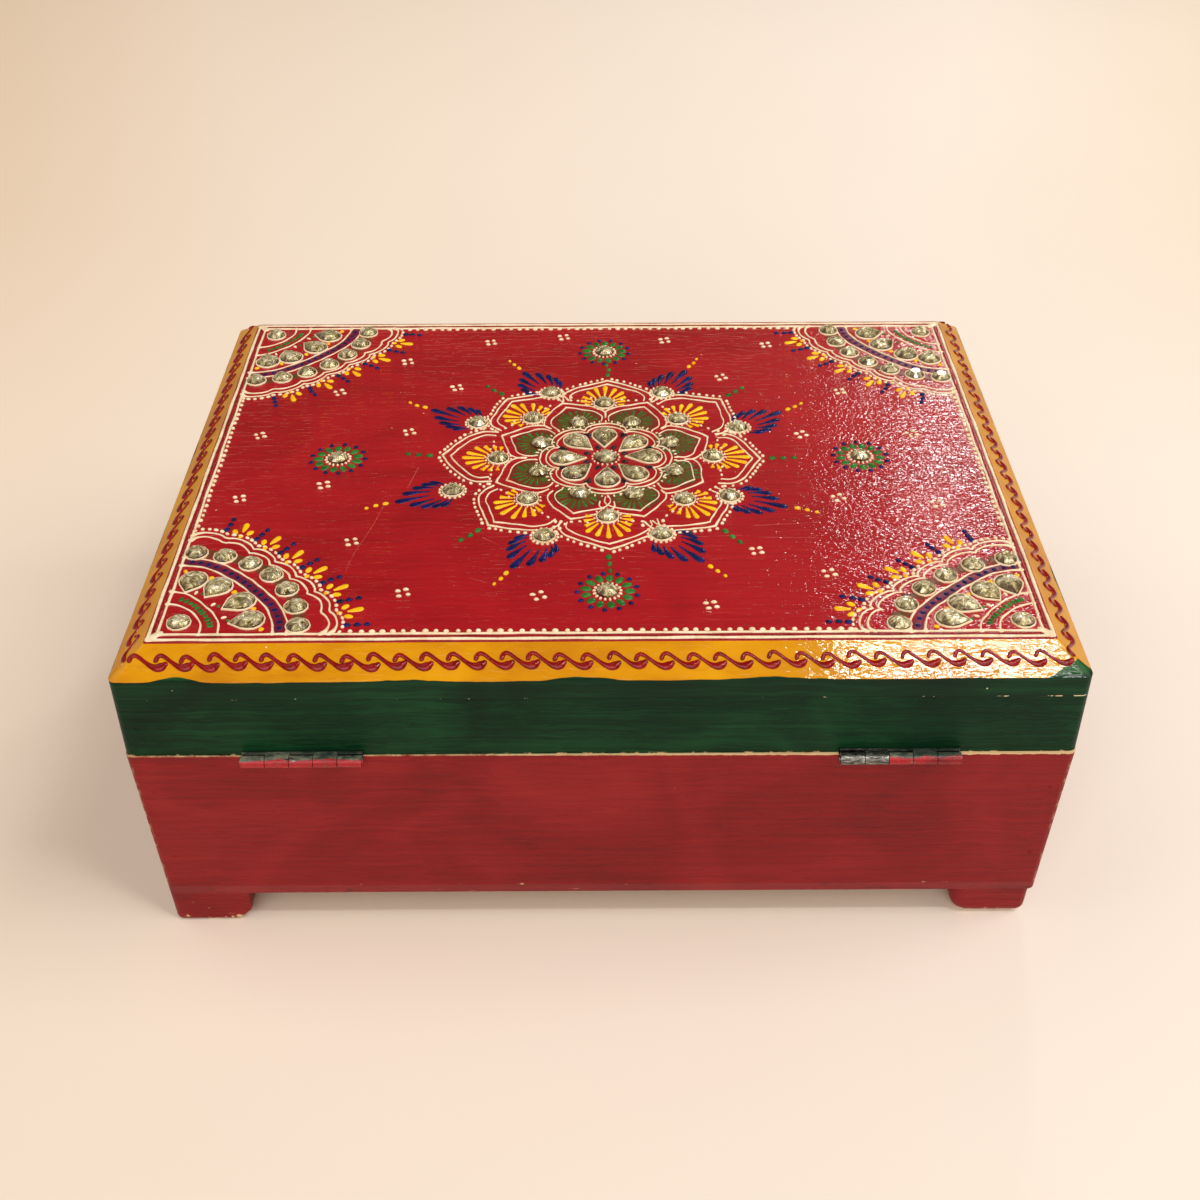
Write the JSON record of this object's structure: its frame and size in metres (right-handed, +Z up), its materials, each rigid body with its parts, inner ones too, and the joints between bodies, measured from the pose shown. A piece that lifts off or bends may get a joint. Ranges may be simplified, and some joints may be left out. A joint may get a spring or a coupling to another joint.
{
  "type": "keepsake chest",
  "caption": "Painted wooden keepsake chest on block feet: bevelled lid on rear hinges, hook latch at the front, raised floral ornament set with flat-backed glass stones.",
  "frame": {"origin": "middle of the chest on the surface it stands on", "axes": "+X to the right seen from the front, +Y to the hinges at the back, +Z up"},
  "size_m": [0.254, 0.203, 0.1004],
  "materials": {
    "base_paint": "dark brick-red hand paint under gloss varnish, worn at the edges",
    "lid_side_paint": "green hand paint under varnish, brush marks along the grain",
    "lid_top_paint": "glossy red field, yellow-ochre bevel with red scrolls, green edge",
    "plywood": "bare plywood below, red paint on its edge",
    "lining": "maroon velvet glued on card",
    "hinge_metal": "plated steel, painted over and rubbed bare on the knuckles",
    "fastener_metal": "plain steel",
    "latch_brass": "aged brass",
    "kundan_glass": "faceted flat-backed glass over pale foil"
  },
  "bodies": {
    "base": {"base_front_board": "base_paint", "base_back_board": "base_paint", "base_left_board": "base_paint", "base_right_board": "base_paint", "foot_front_left": "base_paint", "foot_front_right": "base_paint", "foot_back_left": "base_paint", "foot_back_right": "base_paint", "bottom_plywood": "plywood", "floor_liner": "lining", "front_wall_liner": "lining", "back_wall_liner": "lining", "left_wall_liner": "lining", "right_wall_liner": "lining", "hinge_left_base_leaf": "hinge_metal", "hinge_left_pin": "hinge_metal", "hinge_right_base_leaf": "hinge_metal", "hinge_right_pin": "hinge_metal", "base_hinge_screws": "fastener_metal", "base_corner_brads": "fastener_metal", "bottom_tacks": "fastener_metal", "latch_catch_peg": "latch_brass"},
    "lid": {"lid_front_rail": "lid_side_paint", "lid_back_rail": "lid_side_paint", "lid_left_rail": "lid_side_paint", "lid_right_rail": "lid_side_paint", "lid_top_board": "lid_top_paint", "lid_liner": "lining", "lid_front_liner": "lining", "lid_back_liner": "lining", "lid_left_liner": "lining", "lid_right_liner": "lining", "hinge_left_lid_leaf": "hinge_metal", "hinge_right_lid_leaf": "hinge_metal", "lid_hinge_screws": "fastener_metal", "lid_corner_brads": "fastener_metal", "latch_washer": "latch_brass", "latch_pivot_screw": "latch_brass", "centre_stone": "kundan_glass", "petal_drop_stones": "kundan_glass", "inner_petal_stones": "kundan_glass", "outer_petal_stones": "kundan_glass", "leaf_spray_stones": "kundan_glass", "rosette_stones": "kundan_glass", "corner_apex_stones": "kundan_glass", "corner_drop_stones": "kundan_glass", "corner_round_stones": "kundan_glass"},
    "latch": {"latch_hook": "latch_brass"}
  },
  "joints": [
    {"name": "lid_hinge", "type": "hinge", "parent": "base", "child": "lid", "pos_m": [0, 0.1001, 0.067], "axis": [-1, 0, 0], "range_deg": [0, 180]},
    {"name": "latch_hook_swing", "type": "hinge", "parent": "lid", "child": "latch", "pos_m": [0, -0.0986, 0.075], "axis": [0, 1, 0], "range_deg": [-60, 110]}
  ]
}
